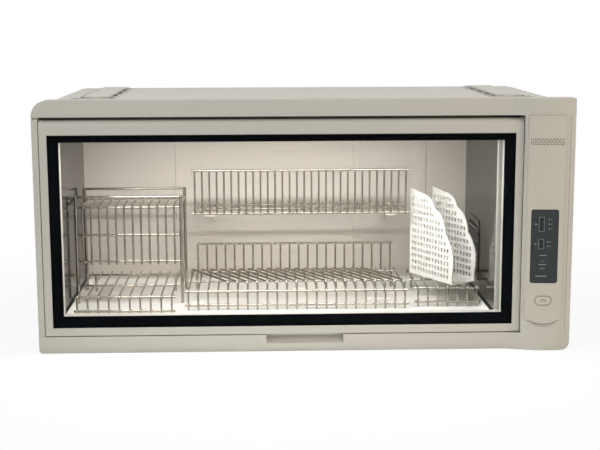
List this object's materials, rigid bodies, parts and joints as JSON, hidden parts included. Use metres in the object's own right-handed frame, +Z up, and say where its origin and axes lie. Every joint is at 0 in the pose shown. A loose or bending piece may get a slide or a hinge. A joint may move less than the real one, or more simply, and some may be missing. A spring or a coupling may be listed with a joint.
{
  "type": "dish sterilizer cabinet",
  "caption": "Wide dish sterilizer cabinet with a glass flap door hinged at the top, a bulging control column and wire racks for plates, bowls, cups and utensils.",
  "frame": {"origin": "bottom centre of the whole cabinet's box", "axes": "+X to the right seen from the front, +Y to the back, +Z up; the door faces -Y"},
  "size_m": [0.79, 0.3361, 0.3788],
  "materials": {
    "frame_plastic": "warm light grey, satin",
    "fascia_plastic": "warm light grey, satin",
    "display": "dark slate, glossy",
    "lamp_lens": "clear lens",
    "inner_plastic": "black, matt",
    "board": "green board",
    "casing_paint": "warm light grey, fine powder coat",
    "vent_plastic": "matt",
    "zinc_steel": "zinc plated",
    "liner_steel": "polished stainless sheet",
    "liner_pale": "pale enamel, satin",
    "bush_nylon": "natural nylon",
    "seal_rubber": "pale grey",
    "rack_chrome": "bright plated wire",
    "caddy_plastic": "white",
    "door_glass": "clear toughened",
    "mask_black": "black printed border",
    "heater_fins": "plain fins",
    "lamp_glass": "quartz tube"
  },
  "bodies": {
    "cabinet": {"front_bezel": "frame_plastic", "left_trim": "frame_plastic", "bottom_rail": "frame_plastic", "control_housing": "frame_plastic", "control_fascia": "fascia_plastic", "display_window": "display", "indicator_leds": "lamp_lens", "button_switch": "inner_plastic", "control_board": "board", "board_standoffs": "inner_plastic", "top_cover": "casing_paint", "vent_grille_left": "vent_plastic", "vent_grille_right": "vent_plastic", "side_panel_left": "casing_paint", "side_panel_right": "casing_paint", "back_panel": "casing_paint", "base_pan": "casing_paint", "hanger_plate_left": "zinc_steel", "hanger_plate_right": "zinc_steel", "casing_screws": "zinc_steel", "front_flange": "casing_paint", "liner_left": "liner_steel", "liner_right": "liner_steel", "liner_back": "liner_pale", "liner_ceiling": "liner_pale", "liner_floor": "liner_pale", "air_grille": "liner_steel", "drip_tray": "liner_pale", "hinge_cartridge_left": "bush_nylon", "hinge_cartridge_right": "bush_nylon", "hinge_block": "inner_plastic", "catch_plates": "zinc_steel", "door_seal": "seal_rubber", "shelf_brackets": "zinc_steel", "heater_duct": "zinc_steel", "heater_element": "heater_fins", "fan_frame": "inner_plastic", "fan_motor": "zinc_steel", "uv_lamp": "lamp_glass", "lamp_holders": "inner_plastic", "cord_gland": "inner_plastic", "terminal_block": "inner_plastic", "power_unit": "inner_plastic", "door_switch": "inner_plastic"},
    "door": {"door_frame": "frame_plastic", "door_glass": "door_glass", "glass_mask": "mask_black", "glass_retainer": "frame_plastic", "hinge_pin_left": "zinc_steel", "hinge_pin_right": "zinc_steel", "door_magnets": "zinc_steel"},
    "button": {"power_button": "fascia_plastic"},
    "impeller": {"fan_impeller": "inner_plastic"},
    "cup_rack": {"cup_rack": "rack_chrome"},
    "bowl_tier": {"bowl_tier": "rack_chrome"},
    "plate_rack": {"plate_rack": "rack_chrome"},
    "upper_rack": {"upper_plate_rack": "rack_chrome"},
    "utensil_rack": {"utensil_rack": "rack_chrome"},
    "caddy": {"utensil_caddy": "caddy_plastic"}
  },
  "joints": [
    {"name": "door_hinge", "type": "hinge", "parent": "cabinet", "child": "door", "pos_m": [0, -0.14095, 0.3365], "axis": [-1, 0, 0], "range_deg": [0, 85]},
    {"name": "button_press", "type": "slide", "parent": "cabinet", "child": "button", "axis": [0, 1, 0], "range_m": [0, 0.0012], "stiffness_N_per_m": 900, "springref_m": -0.001},
    {"name": "impeller_spin", "type": "hinge", "parent": "cabinet", "child": "impeller", "pos_m": [0.332, 0.062, 0.118], "axis": [1, 0, 0], "continuous": true},
    {"name": "cup_rack_lift", "type": "slide", "parent": "cabinet", "child": "cup_rack", "axis": [0, 0, 1], "range_m": [0, 0.015]},
    {"name": "bowl_tier_lift", "type": "slide", "parent": "cabinet", "child": "bowl_tier", "axis": [0, 0, 1], "range_m": [0, 0.015]},
    {"name": "plate_rack_lift", "type": "slide", "parent": "cabinet", "child": "plate_rack", "axis": [0, 0, 1], "range_m": [0, 0.015]},
    {"name": "upper_rack_lift", "type": "slide", "parent": "cabinet", "child": "upper_rack", "axis": [0, 0, 1], "range_m": [0, 0.015]},
    {"name": "utensil_rack_lift", "type": "slide", "parent": "cabinet", "child": "utensil_rack", "axis": [0, 0, 1], "range_m": [0, 0.015]},
    {"name": "caddy_lift", "type": "slide", "parent": "utensil_rack", "child": "caddy", "axis": [0, 0, 1], "range_m": [0, 0.015]}
  ]
}
